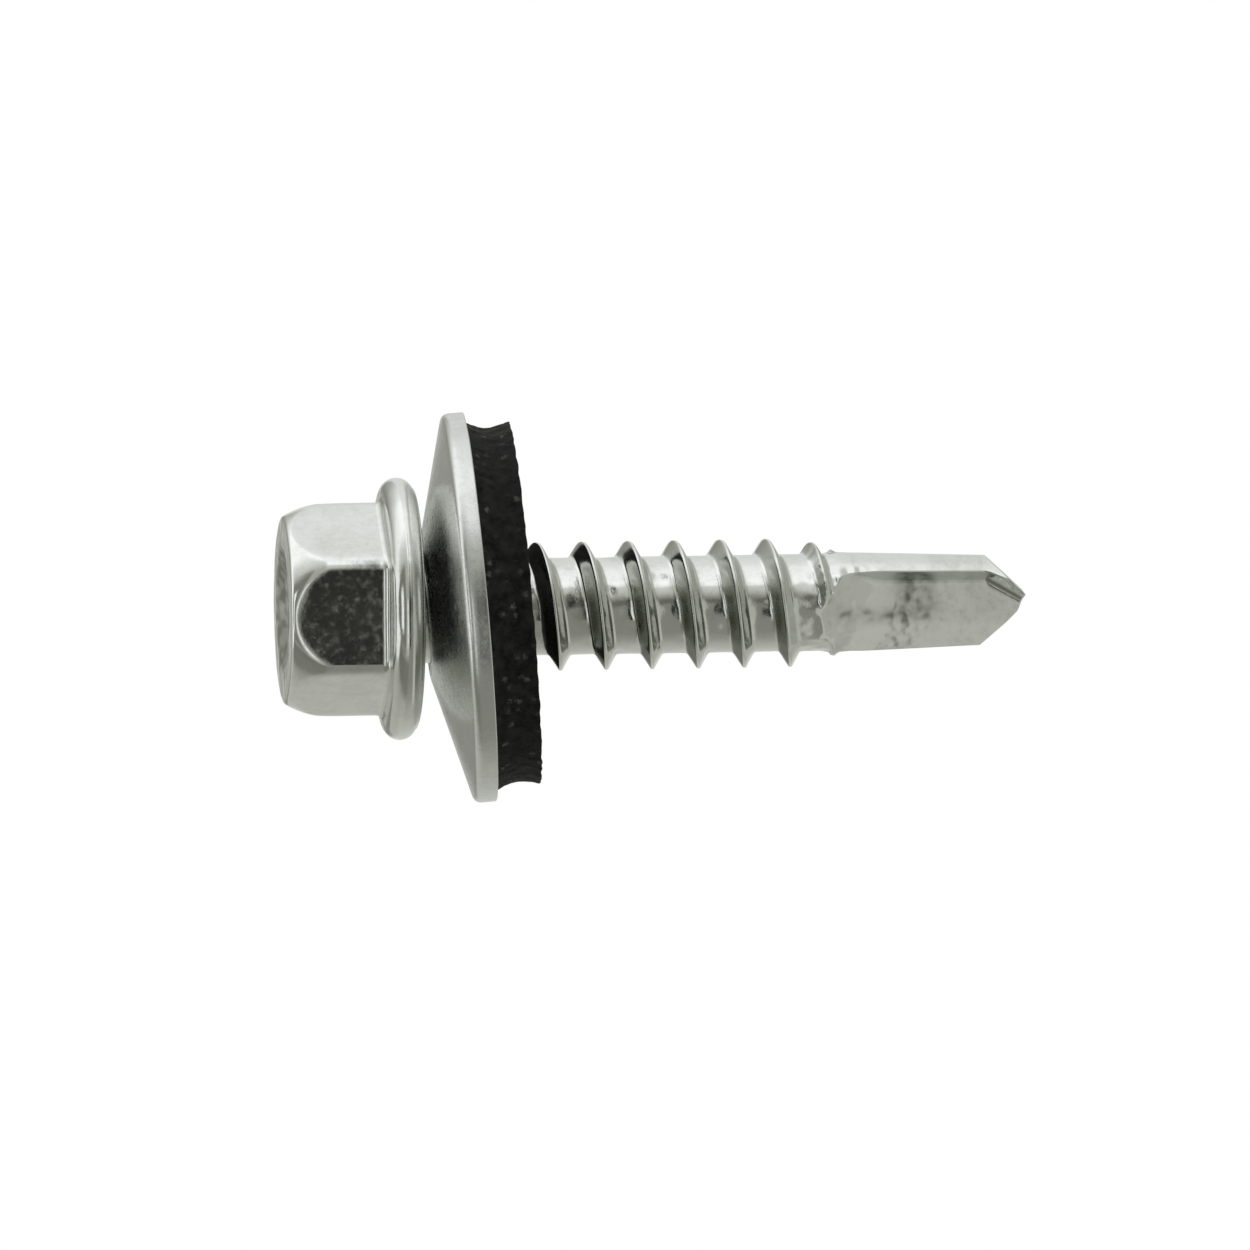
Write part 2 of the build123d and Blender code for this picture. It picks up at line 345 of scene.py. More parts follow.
# %% Searching along rays
HALVINGS = 34
ROOT_BLEND, CUT_BLEND, MARGIN = 0.08, 0.03, 0.1


def along_ray(outside, low, high):
    """The place along a ray where outside goes from below zero to above, found by halving the span."""
    for _ in range(HALVINGS):
        middle = 0.5 * (low + high)
        out = outside(middle) > 0
        low, high = np.where(out, low, middle), np.where(out, middle, high)
    return 0.5 * (low + high)


def threaded_reach(turn, z):
    """Reach of wire and ridge, less the flutes' run-outs, which cross the last turns."""
    body = soft_max(wire_reach(z), ridge_reach(turn, z), ROOT_BLEND)
    x, y = np.cos(turn - FLUTE_TURN), np.sin(turn - FLUTE_TURN)

    def outside(r):
        """Above zero beyond the body or inside a cut."""
        return soft_max(r - body, cuts(r * x, r * y, z), CUT_BLEND)

    return along_ray(outside, np.zeros_like(body), body + MARGIN)


print("reach at the first crest", threaded_reach(np.array([pi]), np.array([CREST_AT])).round(3))

# %% [markdown]
# ### A grid that climbs
# One turn has its rows close together over the crest, several down each flank and a few across the root.
# After a turn's last row comes the first row of the turn above, so the grid is joined there to itself.

# %% The thread's climbing grid
HALF_TURN = np.array([0.008, 0.021, 0.034, 0.06, 0.11, 0.16, 0.20, 0.225, 0.25, 0.28, 0.34, 0.42])
STATIONS = np.concatenate([[-0.5], -HALF_TURN[::-1], HALF_TURN])  # rows of a turn, in pitches from its crest
PLAIN_END = THREAD_STOP + 0.02
SPARE_TURNS = 2


def thread_grid():
    """Points on rows that climb a pitch a turn, and the quads between them, also from a turn to the next."""
    rows = len(STATIONS)
    first = int(np.floor((NECK_END - CREST_AT) / PITCH)) - SPARE_TURNS
    last = int(np.ceil((PLAIN_END - CREST_AT) / PITCH)) + SPARE_TURNS
    steps = np.arange((last - first) * COLUMNS + 1)
    turn = TURN[0] + (first + steps / COLUMNS) * 2 * pi
    climb = CREST_AT + (turn - pi) / (2 * pi) * PITCH
    z = np.clip(climb[:, None] + STATIONS[None, :] * PITCH, NECK_END, PLAIN_END)
    turn = np.broadcast_to(turn[:, None], z.shape)
    reach = np.where(z <= NECK_END, NECK, threaded_reach(turn, z))
    points = np.stack([reach * np.cos(turn), reach * np.sin(turn), z], axis=-1)

    def number(step, row):
        """A point's number. The row after a turn's last one is the first of the turn above."""
        return np.where(row < rows, step * rows + row, (step + COLUMNS) * rows + row - rows)

    step, row = np.meshgrid(np.arange(len(steps) - 1), np.arange(rows), indexing="ij")
    corners = [number(step, row), number(step + 1, row), number(step + 1, row + 1), number(step, row + 1)]
    quads = np.stack(corners, axis=-1).reshape(-1, 4)
    quads = quads[(quads < points.shape[0] * rows).all(axis=1)]
    heights = points[..., 2].reshape(-1)[quads]
    quads = quads[heights.max(axis=1) > heights.min(axis=1) + 1e-9]  # those held at a flat ring fall away
    return points.reshape(-1, 3), quads


thread_points, thread_quads = thread_grid()
print("thread quads", len(thread_quads))

# %% [markdown]
# ## The drill point
# A section of the point is a land's arc, the flute's wall, its floor and the heel's bevel, twice over. Even
# columns would miss its corners and give them saw teeth. So the columns are shared out between these four,
# and the wall's top and foot each follow a column and stay crisp.

# %% The point's columns
WALL_FROM = THREAD_STOP + 0.3  # where the first section lies
SHARES = (0.27, 0.14, 0.29)  # of half the columns: land, wall, floor; the bevel has the rest
FOLD_X = (HEEL + WEB * sin(HEEL_TURN)) / cos(HEEL_TURN)  # the fold between floor and bevel
FOLD_ALONG = -FOLD_X * sin(HEEL_TURN) - WEB * cos(HEEL_TURN)  # its place along the bevel
FOLD_SPREAD = 0.3
INSIDE, SEARCH, SECTION_BLEND = 0.5, 2.5, 0.02  # where a search starts, how far it goes, how corners round


def wall_top(z):
    """Depth along -Y at which the wall meets the land's circle at a height, found by halving."""
    reach = wire_reach(z)
    return along_ray(lambda y: np.hypot(wall_x(y - WEB, z), y) - reach, np.full_like(z, WEB), reach)


print("fold at x", round(FOLD_X, 3), "wall top at depth", wall_top(np.array([TIP - 4.0])).round(3))


# %% A section of the point
def section(column, z):
    """A point of the section at height z for each column, a share from 0 to 1 of half the way round.

    Land columns go round the circle. The others aim at a place on the sharp outline of wall, floor and bevel,
    from inside, and their aim turns at the fold between floor and bevel so that no two of them cross.
    """
    reach, top = wire_reach(z), wall_top(z)
    top_x, foot_x = wall_x(top - WEB, z), wall_x(np.zeros_like(z), z)
    land_ends, wall_ends, floor_ends = np.cumsum(SHARES)
    land_start = HEEL_TURN + np.arccos(HEEL / reach) - pi
    land_stop = np.arctan2(-top, top_x) % (2 * pi)
    land_turn = toward(land_start, land_stop, np.clip(column / land_ends, 0, 1))
    down_wall = toward(top_x, foot_x, (column - land_ends) / (wall_ends - land_ends))
    over_floor = toward(foot_x, FOLD_X, np.clip((column - wall_ends) / (floor_ends - wall_ends), 0, 1))
    across = np.where(column < wall_ends, down_wall, over_floor)
    bevel_end = np.sqrt(reach**2 - HEEL**2)
    past = np.clip((column - floor_ends) / (1 - floor_ends), 0, 1) * (bevel_end - FOLD_ALONG)
    aim_x, aim_y = across - past * sin(HEEL_TURN), past * cos(HEEL_TURN) - WEB
    turned = ease(across - FOLD_X + past, -FOLD_SPREAD, 2 * FOLD_SPREAD)
    turn = (HEEL_TURN - 1.5 * pi) * turned - pi / 2
    way_x, way_y = np.cos(turn), np.sin(turn)
    from_x, from_y = aim_x - INSIDE * way_x, aim_y - INSIDE * way_y

    def outside(r):
        """Above zero beyond the land's circle or inside a cut, at r along a column's aim."""
        x, y = from_x + r * way_x, from_y + r * way_y
        return soft_max(np.hypot(x, y) - reach, one_side(x, y, z), SECTION_BLEND)

    r = along_ray(outside, np.zeros_like(z), np.full_like(z, SEARCH))
    on_land = column <= land_ends
    return (
        np.where(on_land, reach * np.cos(land_turn), from_x + r * way_x),
        np.where(on_land, reach * np.sin(land_turn), from_y + r * way_y),
    )


def whole_section(z):
    """A ring of x, y and z: both halves of the section, turned from the flute's frame into the screw's."""
    half = COLUMNS // 2
    column = np.arange(half) / half
    near, far = section(column, z[:half]), section(column, z[half:])
    x, y = np.concatenate([near[0], -far[0]]), np.concatenate([near[1], -far[1]])
    return x * cos(FLUTE_TURN) - y * sin(FLUTE_TURN), x * sin(FLUTE_TURN) + y * cos(FLUTE_TURN), z


first_section = whole_section(np.full(COLUMNS, WALL_FROM))
print("widest of the first section", round(float(np.hypot(*first_section[:2]).max()), 3))

# %% [markdown]
# ### From the thread to the tip
# The thread's columns are even and the point's follow its features, so a few rings turn one into the other.
# Level rings come next, and then rings that bend, so that each column stops where it meets the reliefs. The
# last rings shrink over the end to its middle, because one flat cap could not follow its planes.

# %% The point's end
BEND, END_MIDDLE = TIP - 1.95, (-0.1, 0.0)  # where rings start to bend, and where the last one closes


def end_height(x, y):
    """Height of the end: two reliefs that fall away from a ridge beside the axis, and the slanted nip."""
    across = (x + RIDGE) * cos(RELIEF_TURN) + y * sin(RELIEF_TURN)
    top = TIP + (NIP_OFFSET - RIDGE) * cos(RELIEF_TURN - pi) / RELIEF
    relief = top - np.sqrt(across**2 + RIDGE_BLEND**2) / RELIEF
    nip = TIP - (x + NIP_OFFSET) * NIP_SLOPE
    return soft_min(relief, nip, NIP_BLEND)


def above_end(level):
    """How far a column's point at a height lies above the end's surface there."""
    x, y, z = whole_section(level)
    return z - end_height(x, y)


print("end's height at its middle", round(float(end_height(*END_MIDDLE)), 3))


# %% The point's rings
def joining_rings():
    """Rings that turn from the thread's even columns to the columns of the first section."""
    feature_turn = np.unwrap(np.arctan2(first_section[1], first_section[0]))
    shift = int(np.round(((TURN[0] - feature_turn[0]) % (2 * pi)) / (2 * pi) * COLUMNS))
    plain_turn = np.unwrap(TURN[np.roll(np.arange(COLUMNS), shift)])
    turns_apart = np.round((plain_turn.mean() - feature_turn.mean()) / (2 * pi))
    feature_turn = feature_turn + turns_apart * 2 * pi
    rings = []
    for share in np.linspace(0, 1, 10)[:-1]:
        turn = toward(plain_turn, feature_turn, ease(share, 0, 1))
        level = np.full(COLUMNS, toward(PLAIN_END, WALL_FROM, share))
        reach = threaded_reach(turn, level)
        rings.append((reach * np.cos(turn), reach * np.sin(turn), level))
    return rings


def point_rings():
    """Rings from the thread's end to the tip, the last one drawn together at the middle of the end."""
    rings = joining_rings()
    rings += [whole_section(np.full(COLUMNS, level)) for level in np.linspace(WALL_FROM, BEND, 62)[:-1]]
    stop = along_ray(above_end, np.full(COLUMNS, BEND - 0.3), np.full(COLUMNS, TIP + 0.3))
    rings += [whole_section(toward(BEND, stop, share)) for share in np.linspace(0, 1, 34)]
    rim_x, rim_y = rings[-1][:2]
    for share in np.linspace(0, 1, 16)[1:]:
        x, y = toward(rim_x, END_MIDDLE[0], share), toward(rim_y, END_MIDDLE[1], share)
        rings.append((x, y, end_height(x, y)))
    return np.moveaxis(np.array(rings), 1, -1)


point = point_rings()
print("point rings", point.shape[:2], "highest", round(float(point[..., 2].max()), 3))

# %% [markdown]
# ## From arrays to a mesh
# Every surface here is a grid of points, held as one array with a row per ring and a column per direction.
# Neighbouring rings are joined by quads, the last column to the first, and points that fall together are
# merged, which closes the poles and the seams between grids. Blender's own merge is quicker and surer here
# than working out which points are shared.

# %% Meshes
MERGE, SLIVER = 2e-7, 1e-8  # in metres: points this close are one, edges this short are dropped


def grid_quads(first, rows, columns, closed=True):
    """Quads between the rows of a grid whose points start at number first. Closed rows are rings."""
    row = np.arange(rows - 1)[:, None] * columns
    column = np.arange(columns if closed else columns - 1)[None, :]
    after = (column + 1) % columns
    quads = np.stack([row + column, row + after, row + columns + after, row + columns + column], axis=-1)
    return first + quads.reshape(-1, 4)


def closed_mesh(name, points, quads):
    """A smooth mesh from points in millimetres, merged where they meet, with its faces turned outwards."""
    mesh = bpy.data.meshes.new(name)
    mesh.from_pydata((points * MM).tolist(), [], quads.tolist())
    work = bmesh.new()
    work.from_mesh(mesh)
    bmesh.ops.remove_doubles(work, verts=work.verts, dist=MERGE)
    bmesh.ops.dissolve_degenerate(work, dist=SLIVER, edges=work.edges)
    bmesh.ops.recalc_face_normals(work, faces=work.faces)
    work.to_mesh(mesh)
    open_edges = sum(not edge.is_manifold for edge in work.edges)
    print(name, "open edges", open_edges, "volume mm3", round(work.calc_volume(signed=True) / MM**3, 1))
    work.free()
    mesh.polygons.foreach_set("use_smooth", np.ones(len(mesh.polygons), bool))
    return mesh


def make_piece(name, points, quads, relief, body, node, slot, wear=None):
    """A closed mesh that rides on a body and stands for a CAD node.

    Relief gives each point's height above the plain surface, and the point moves that far along its normal.
    Wear gives each point a darkening from 0 to 1 for the material to read, from its place and normal: real
    wear and painted shade.
    """
    mesh = closed_mesh(name, points, quads)
    place, normal = np.empty(len(mesh.vertices) * 3), np.empty(len(mesh.vertices) * 3)
    mesh.vertices.foreach_get("co", place)
    mesh.vertex_normals.foreach_get("vector", normal)
    place, normal = place.reshape(-1, 3), normal.reshape(-1, 3)
    if wear:
        # the attribute holds real wear and painted shade together
        dullness_and_shade = wear(place / MM, normal).astype(np.float32)
        mesh.attributes.new("dullness_and_shade", "FLOAT", "POINT").data.foreach_set("value", dullness_and_shade)
    place += normal * relief(place / MM)[:, None] * MM
    mesh.vertices.foreach_set("co", place.ravel())
    mesh.update()
    piece = placed(name, mesh)
    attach(piece, body)
    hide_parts(node)
    print(name, "triangles", sum(len(face.vertices) - 2 for face in mesh.polygons))
    return piece


print("quads between two rings of four", len(grid_quads(0, 2, 4)))

# %% [markdown]
# ## Uneven metal
# No real screw is as true as its formula. Forging leaves slow waves, handling leaves small knocks, and the
# pinching dies leave crumpled floors. A bump in the material would not show at the outline, so the points
# themselves move, by sums of waves and by small bell-shaped dents.


# %% Ripples and dents
def ripples(points, shortest, longest, count, seed):
    """Uneven heights, mostly from -1 to 1: a sum of sine waves that run in random directions."""
    draw = np.random.default_rng(seed)
    way = draw.normal(size=(count, 3))
    way /= np.linalg.norm(way, axis=1, keepdims=True)
    length = np.exp(draw.uniform(np.log(shortest), np.log(longest), (count, 1)))
    phase = draw.uniform(0, 2 * pi, count)
    return np.sin(points @ (way / length).T * 2 * pi + phase).sum(axis=1) / np.sqrt(count)


def dents(points, low, high, count, width, seed):
    """Small round dents at random points between two heights: each a bell curve, 1 deep at its middle."""
    draw = np.random.default_rng(seed)
    inside = points[(points[:, 2] > low) & (points[:, 2] < high)]
    found = np.zeros(len(points))
    for middle in inside[draw.integers(0, len(inside), count)]:
        size = width * draw.uniform(0.6, 1.5)
        found = np.maximum(found, np.exp(-((points - middle) ** 2).sum(axis=1) / size**2))
    return found


print("a ripple at one point", ripples(np.ones((1, 3)), 1.0, 2.0, 24, seed=1).round(2))


# %% The screw's relief
def in_dish(z, reach, edge):
    """1 over the dish of the head's end face, fading out on the ring round it, 0 past the given edge."""
    return ease(z, 0.5, -0.1) * ease(reach, edge, -0.4)


def point_relief(place, z, reach):
    """The flash where the dies met, the flutes' rough floors, and the mashed metal before their run-outs."""
    flash = bell(z, TIP - 7.95, 0.10) * ease(np.abs(place[:, 0]), 1.5, 0.4)
    floor = ease(z, TIP - 7.6, 0.8) * ease(z, TIP - 0.6, -1.0) * ease(wire_reach(z) - reach, 0.04, 0.15)
    bitten = 0.10 + bell(z, TIP - 5.0, 1.0)
    mashed = bell(z, TIP - 8.6, 0.7) * ease(reach, 2.6, -0.3)
    return (
        0.12 * flash * (place[:, 0] * place[:, 1] < 0.6)
        + 0.004 * floor * bitten * ripples(place, 0.30, 0.8, 24, seed=2)
        + 0.018 * mashed * ripples(place, 0.35, 0.9, 24, seed=3)
    )


def screw_relief(place):
    """Slow waves all over and deeper on the head, knocks on the shank, the point's relief, a lumpy dish."""
    z, reach = place[:, 2], np.hypot(place[:, 0], place[:, 1])
    knocks = dents(place, NECK_END, TIP - 6.5, 150, 0.24, seed=4) * ease(reach, 2.3, -0.2)
    waves = 0.0016 + 0.0020 * ease(z, HEAD_HEIGHT, -0.3)
    return (
        waves * ripples(place, 0.8, 2.4, 24, seed=1)
        - 0.030 * knocks * ease(z, HEAD_HEIGHT, 0.5)
        + point_relief(place, z, reach)
        + 0.012 * in_dish(z, reach, 3.4) * ripples(place, 0.7, 1.8, 24, seed=5)
    )


print("dish's lumps at its middle and past the edge", [float(in_dish(0.0, r, 3.4)) for r in (0.0, 3.4)])

# %% [markdown]
# ### Where the plating is worn, and painted shade
# The dies leave the flutes rough and blotched, the dish has blotches, and the flange's top face is darker.
# Painted shade rides on the same mark: on the ridge's flank that faces the head, on the flange's bearing
# face in its gap against the washer, on the flutes' walls, and as a painted dark reflection along each floor.
# This could be painted by hand. Here it is worked out from each point's place and normal, so that it stays
# right when a size changes, and the mesh carries it to the material as an attribute.


# %% The screw's wear and painted shade
def head_blotches_and_painted_shade(place, normal, z, reach):
    """Darker on the flange's top face, painted shade on its bearing face in the gap against the washer, and
    blotches in the dish.
    """
    # painted shade: the bearing face is darkened in its narrow gap against the washer
    under = ease(normal[:, 2], 0.15, 0.5) * (z < HEAD_HEIGHT + 0.1) * (z > FLANGE_TOP)
    brow = ease(-normal[:, 2], 0.25, 0.35) * (z < HEAD_HEIGHT) * (z > FLANGE_TOP - 0.1)
    blotch = ease(0.5 + 0.6 * ripples(place, 0.35, 1.1, 24, seed=8), 0, 1)
    return 0.20 * (under + brow) + 0.55 * blotch * in_dish(z, reach, 3.2)


def thread_painted_shade(place, normal, z, reach):
    """Painted shade on the flank facing the head, where it would mirror the dark seal, deeper towards +X."""
    ridge = ease(z, NECK_END, 0.4) * ease(reach, 2.0, 0.08) * ease(z, TIP - 8, -0.5)
    # painted shade: darker towards +X, away from the lamp
    darker_away_from_lamp = 0.35 + 0.65 * ease(place[:, 0], -1.7, 2.4)
    # painted shade on the flank that faces the head, where it would mirror the dark seal
    return ridge * darker_away_from_lamp * ease(-normal[:, 2], 0.35, 0.3)


def point_blotches_and_painted_shade(place, normal, z, reach):
    """Painted shade on the flutes' walls, a darker blotched patch on each floor, a painted reflection along
    it.
    """
    outward = (normal[:, 0] * place[:, 0] + normal[:, 1] * place[:, 1]) / np.maximum(reach, 0.1)
    cut = (z > TIP - 8) * ease(wire_reach(z) - reach, 0.02, 0.06)
    side = -np.sign(place[:, 1]) * place[:, 0]
    blotch = ease(0.35 + 0.5 * ripples(place, 0.3, 1.1, 30, seed=6), 0, 1)
    patch = bell(z, TIP - 4.55, 0.85, power=4) * ease(side, 0.66, -0.2) * (0.45 + 0.6 * blotch)
    # painted reflection: a dark streak along each flute's floor
    painted_reflection_band = 1.6 * bell(side, 0.55, 0.26) * ease(z, TIP - 8.0, 0.5) * ease(z, TIP - 3.4, -0.8)
    painted_reflection_band = painted_reflection_band * (0.25 + 0.6 * blotch)
    # the first term is painted shade on faces turned away from the outside, the flutes' walls most
    return cut * (0.26 * ease(outward, 0.45, -0.3) + 0.55 * np.maximum(patch, painted_reflection_band))


def screw_wear_and_painted_shade(place, normal):
    """Wear and painted shade of head, thread and point together, at most 1."""
    z, reach = place[:, 2], np.hypot(place[:, 0], place[:, 1])
    parts = [part(place, normal, z, reach) for part in (head_blotches_and_painted_shade, thread_painted_shade, point_blotches_and_painted_shade)]
    return np.clip(sum(parts), 0, 1)


# painted shade on a flank that faces the head, at one point
first_flank, facing_head = np.array([[-2.4, 0, CREST_AT]]), np.array([[0, 0, -1.0]])
print("wear on a flank that faces the head", screw_wear_and_painted_shade(first_flank, facing_head).round(2))


# %% The screw's mesh
thread_first = head[..., 0].size
point_first = thread_first + len(thread_points)
points = np.concatenate([head.reshape(-1, 3), thread_points, point.reshape(-1, 3)])
quads = np.concatenate([
    grid_quads(0, len(head), COLUMNS),
    thread_quads + thread_first,
    grid_quads(point_first, len(point), COLUMNS),
])
screw = make_piece("plated_screw", points, quads, screw_relief, "screw", "screw", "screw_steel", screw_wear_and_painted_shade)

# %% [markdown]
# ## The washer
# A round blank is pressed from sheet into a shallow cone, and the press rounds its edges. It could be a
# flat ring bent by a modifier. Here a closed profile, with its edges rounded already, is carried round the
# washer's own axis, because the loose washer leans and all its edges have to lean with it.

# %% Washer and seal sizes
WASHER_REACH, SHEET, CONE = 8.0, 0.85, radians(14.8)
HOLE, BORE, GAP = NECK + 0.33, NECK + 0.15, 0.41
SEAL_REACH, SEAL_LIP, SEAL_HEIGHT, SEAL_HOLLOW, LIP_EDGE = 7.66, 7.48, 1.98, 0.28, 0.12
LEAN_X, LEAN_Y = radians(3.2), radians(-4.05)
SHEET_HEIGHT = SHEET / cos(CONE)
APEX = HEAD_HEIGHT + GAP - HOLE * tan(CONE)
PIVOT = BORE * tan(CONE) + SHEET_HEIGHT + SEAL_HEIGHT / 2
LEAN = np.array(Matrix.Rotation(LEAN_X, 3, "X") @ Matrix.Rotation(LEAN_Y, 3, "Y"))
print("the washer leans about a height of", round(APEX + PIVOT, 3))


# %% Turned forms
def turned_piece(profile, columns):
    """A closed profile of reach and height carried round the axis, leant about the pivot, and its quads."""
    profile = np.vstack([profile, profile[:1]])
    turn = np.arange(columns) * 2 * pi / columns
    reach, height = profile[:, :1], profile[:, 1:] + 0 * turn
    around = np.stack([reach * np.cos(turn), reach * np.sin(turn), height - PIVOT], axis=-1)
    points = around.reshape(-1, 3) @ LEAN.T + (0, 0, APEX + PIVOT)
    return points, grid_quads(0, len(profile), columns)


def coned(profile):
    """Lifts a profile that was drawn flat onto the washer's cone: height grows with reach."""
    profile = np.array(profile, float)
    return np.stack([profile[:, 0], profile[:, 1] + profile[:, 0] * tan(CONE)], axis=1)


def rounded(points, radii, count=6):
    """A closed outline with its corners rounded, each by a curve between two points on its sides."""
    points = np.array(points, float)
    found = []
    for before, corner, after, radius in zip(np.roll(points, 1, 0), points, np.roll(points, -1, 0), radii):
        start = toward(corner, before, min(0.5, radius / np.linalg.norm(before - corner)))
        end = toward(corner, after, min(0.5, radius / np.linalg.norm(after - corner)))
        found.append(curve(start, corner, end, count))
    return np.concatenate(found)


def divided(outline, longest):
    """The closed outline with its long runs divided evenly."""
    found = []
    for before, after in zip(outline, np.roll(outline, -1, 0)):
        parts = int(np.ceil(np.linalg.norm(after - before) / longest))
        found.append(run(before, after, max(1, parts)))
    return np.concatenate(found)


print("a square with round corners has", len(rounded([(0, 0), (1, 0), (1, 1), (0, 1)], [0.1] * 4)), "points")

# %% The sheet washer
SHEET_ROUNDS = (0.3, 0.26, 0.08, 0.08)  # at hole and rim, then at rim and hole on the rubber's side
sheet_corners = [(HOLE, 0), (WASHER_REACH, 0), (WASHER_REACH, SHEET_HEIGHT), (HOLE, SHEET_HEIGHT)]
sheet = divided(rounded(sheet_corners, SHEET_ROUNDS), 0.25)


def washer_relief(place):
    """A pressed sheet is never quite true: long, very low waves."""
    return 0.004 * ripples(place, 2.5, 7.0, 16, seed=7)


washer_form = turned_piece(coned(sheet), 288)
washer = make_piece("sheet_washer", *washer_form, washer_relief, "washer", "steel_washer", "washer_steel")

# %% [markdown]
# ## The rubber seal
# The rubber is moulded onto the sheet and bonded to it. Its wall is hollow between two lips, as its mould
# left it, and its edges are a little crumbled. It is a turned form like the washer, but with many more
# columns, because its crumbs are real relief, so that they show at the outline too.


# %% The rubber seal
def seal_outline():
    """The rubber's profile: bonded face, outer wall with its hollow, lower face and bore."""
    top, bottom, edge = SHEET_HEIGHT, SHEET_HEIGHT + SEAL_HEIGHT, SEAL_LIP - LIP_EDGE
    share = np.linspace(0, 1, 22)
    hollow = SEAL_HOLLOW * np.sin(pi * share) ** 0.8
    wall = np.stack([toward(SEAL_REACH, SEAL_LIP, share) - hollow, top + SEAL_HEIGHT * share], axis=1)
    return np.concatenate([
        run((BORE, top), (SEAL_REACH, top), 12),
        wall[:-1],
        curve(wall[-2], wall[-1] + (0, 0.02), (edge, bottom), 4),
        run((edge, bottom), (BORE, bottom), 14)[1:],
        run((BORE, bottom), (BORE, top), 5),
    ])


def seal_relief(place):
    """Lumps and crumbs on the rubber's outer wall and lips, none where it is bonded to the sheet."""
    upright = (place - (0, 0, APEX + PIVOT)) @ LEAN + (0, 0, PIVOT)
    reach = np.hypot(upright[:, 0], upright[:, 1])
    depth = upright[:, 2] - reach * tan(CONE) - SHEET_HEIGHT
    outer = ease(reach, 6.6, 0.5) * ease(depth, 0.02, 0.15)
    lumps = ripples(place, 0.5, 1.4, 24, seed=11)
    crumbs = ripples(place, 0.16, 0.4, 30, seed=12)
    lips = np.minimum(depth, SEAL_HEIGHT - depth) / 0.3
    return outer * (0.020 * lumps + 0.014 * np.minimum(crumbs, 0.5) * np.clip(lips, 0.25, 1))


seal_form = turned_piece(coned(seal_outline()), 512)
seal = make_piece("bonded_seal", *seal_form, seal_relief, "washer", "rubber_seal", "seal_rubber")

# %% [markdown]
# ## Materials
# Shader maths reads as plain sums here. Nodes could be wired by hand, one link at a time, but a sum is then
# hard to read. A small class wraps a socket and gives it the operators, and one method makes any node.


# %% Shader helpers
class Wire:
    """A node's output that can be added, subtracted and multiplied, with numbers and with other wires."""

    def __init__(self, finish, socket):
        self.finish, self.socket = finish, socket

    def other(self, output):
        """Another output of the same node."""
        return Wire(self.finish, self.socket.node.outputs[output])

    def maths(self, operation, first, second):
        """One Math node of two values or wires."""
        return self.finish.node("Math", {0: first, 1: second}, operation=operation)

    def __add__(self, other):
        return self.maths("ADD", self, other)

    def __sub__(self, other):
        return self.maths("SUBTRACT", self, other)

    def __rsub__(self, other):
        return self.maths("SUBTRACT", other, self)

    def __mul__(self, other):
        return self.maths("MULTIPLY", self, other)

    __radd__, __rmul__ = __add__, __mul__


class Finish:
    """A node tree of a material or a world, built node by node."""

    def __init__(self, owner):
        owner.use_nodes = True
        self.owner, self.tree = owner, owner.node_tree
        self.tree.nodes.clear()

    def node(self, kind, sockets=None, output=0, **settings):
        """Makes a node: its settings first, then its sockets, each from a value or a wire."""
        made = self.tree.nodes.new("ShaderNode" + kind)
        for name, value in settings.items():
            setattr(made, name, value)
        for name, value in (sockets or {}).items():
            if isinstance(value, Wire):
                self.tree.links.new(value.socket, made.inputs[name])
            else:
                made.inputs[name].default_value = value
        return Wire(self, made.outputs[output]) if len(made.outputs) else made

    def mix(self, share, first, second):
        """The first colour where the share is 0, the second where it is 1."""
        return self.node("Mix", {0: share, 6: first, 7: second}, output=2, data_type="RGBA")

    def noise(self, place, scale, detail=4.0, roughness=0.55):
        """Even noise from 0 to 1 at a scale in waves a millimetre."""
        place = self.node("Mapping", {"Vector": place, "Scale": [scale / MM] * 3})
        sockets = {"Vector": place, "Scale": 1.0, "Detail": detail, "Roughness": roughness}
        return self.node("TexNoise", sockets)

    def ramped(self, value, low, high):
        """0 where value is under low, 1 where it is over high, and a straight ramp between."""
        return self.node("MapRange", {"Value": value, "From Min": low, "From Max": high}, clamp=True)


def colour(red, green, blue):
    """A colour as a socket takes it, with full alpha."""
    return (red, green, blue, 1)


def grey(value):
    """The same share of red, green and blue."""
    return colour(value, value, value)


print("a middle grey is", grey(0.5))

# %% [markdown]
# ### Bright plating
# Zinc plating on forged steel is a mirror with small dents and a thin stained film. An even metal would
# look like a toy, so dents come from two bumps, and the film from noise that moves colour and gloss
# together. Where the mesh marks wear and painted shade, the plating turns darker and duller.

# %% Plated steel
# the darker tone for worn plating and for painted shade
WORN_AND_SHADED = colour(0.12, 0.13, 0.10)


